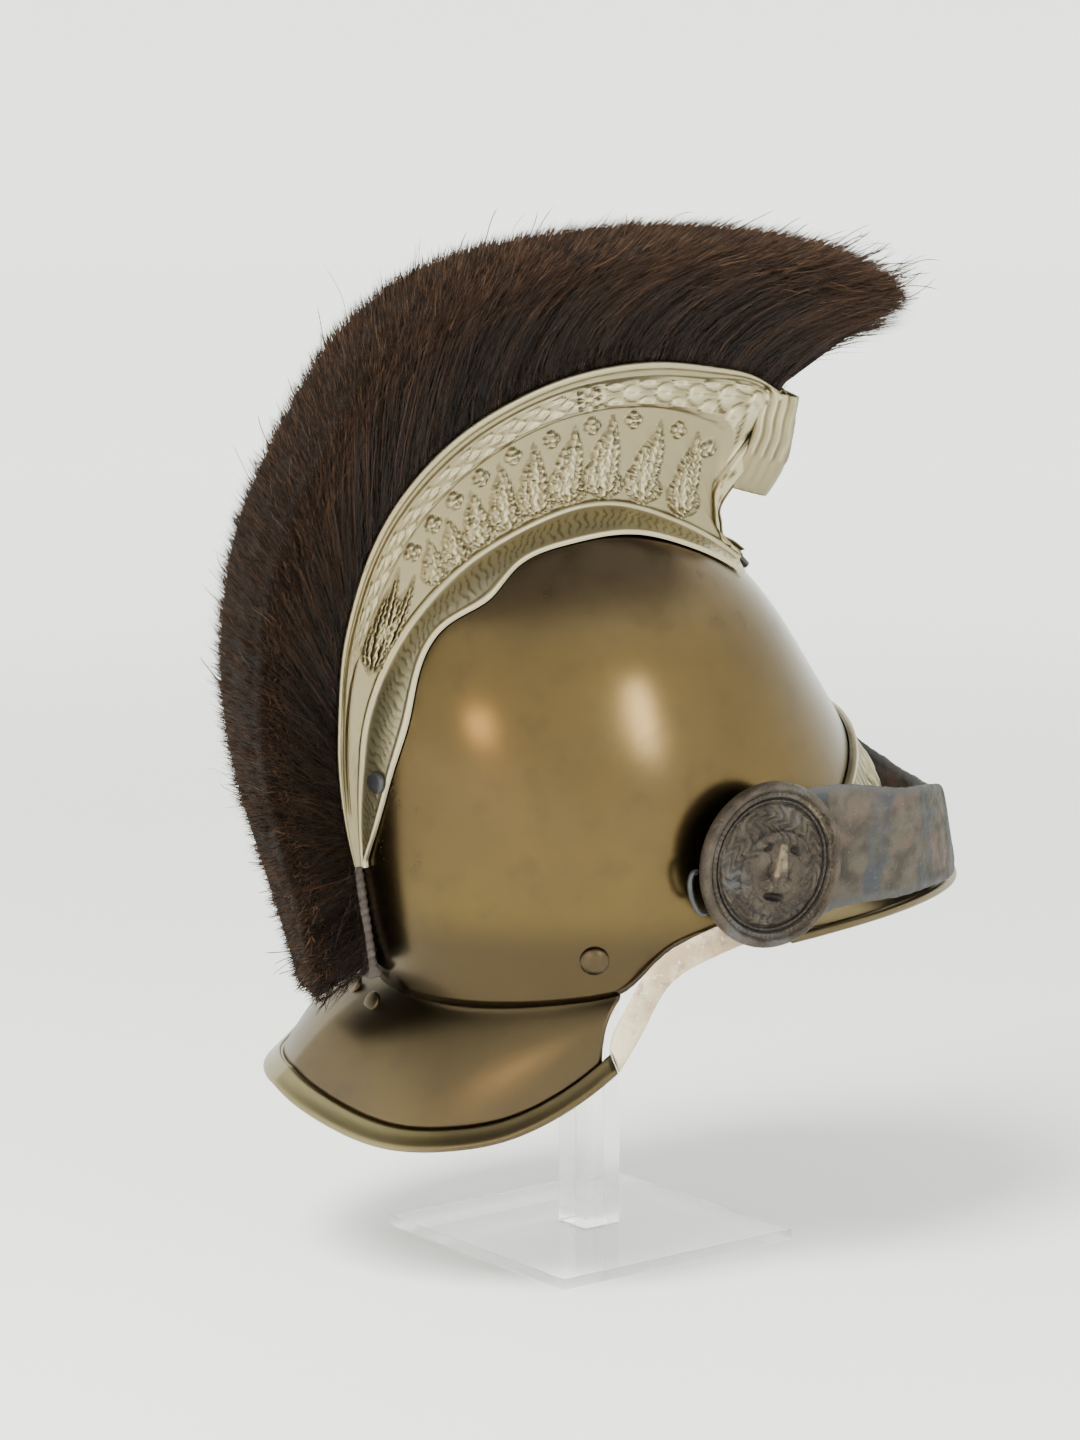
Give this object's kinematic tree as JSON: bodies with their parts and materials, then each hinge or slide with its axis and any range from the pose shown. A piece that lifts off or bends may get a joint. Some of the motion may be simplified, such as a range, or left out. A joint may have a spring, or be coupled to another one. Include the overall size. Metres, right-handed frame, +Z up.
{
  "type": "gendarme helmet on acrylic stand",
  "caption": "Brass crested helmet with an embossed comb, horsehair brush, rosettes, peak, neck guard and chin strap, resting on a clear acrylic stand.",
  "frame": {"origin": "centre of the stand's foot, on the floor", "axes": "+Z up, -Y to the helmet's front, +X to the wearer's left"},
  "size_m": [0.2115, 0.3195, 0.4121],
  "materials": {
    "brass": "aged, dull polish with brown tarnish",
    "nickel_silver": "worn nickel silver over brass, embossed",
    "dark_bronze": "cast, brown patina with dark recesses",
    "horsehair": "trimmed dark brown horsehair",
    "leather": "worn leather with a scale pattern",
    "worn_binding": "peeled cream leather binding over metal",
    "iron": "dark iron",
    "acrylic": "clear polished acrylic"
  },
  "bodies": {
    "root": {"brush": "horsehair", "chin_strap": "leather", "comb": "nickel_silver", "comb_bolt": "iron", "comb_mask": "nickel_silver", "comb_screw_left": "iron", "comb_screw_right": "iron", "crown": "brass", "ear_edge_left": "worn_binding", "ear_edge_right": "worn_binding", "front_band": "nickel_silver", "front_peak": "brass", "guard_rim": "brass", "guard_rivet_left": "brass", "guard_rivet_right": "brass", "neck_guard": "brass", "peak_rim": "nickel_silver", "rosette_left": "dark_bronze", "rosette_right": "dark_bronze", "side_rivet_left": "brass", "side_rivet_right": "brass", "stand_base": "acrylic", "stand_head": "acrylic", "stand_post": "acrylic", "strap_hook_left": "dark_bronze", "strap_hook_right": "dark_bronze"}
  },
  "joints": []
}
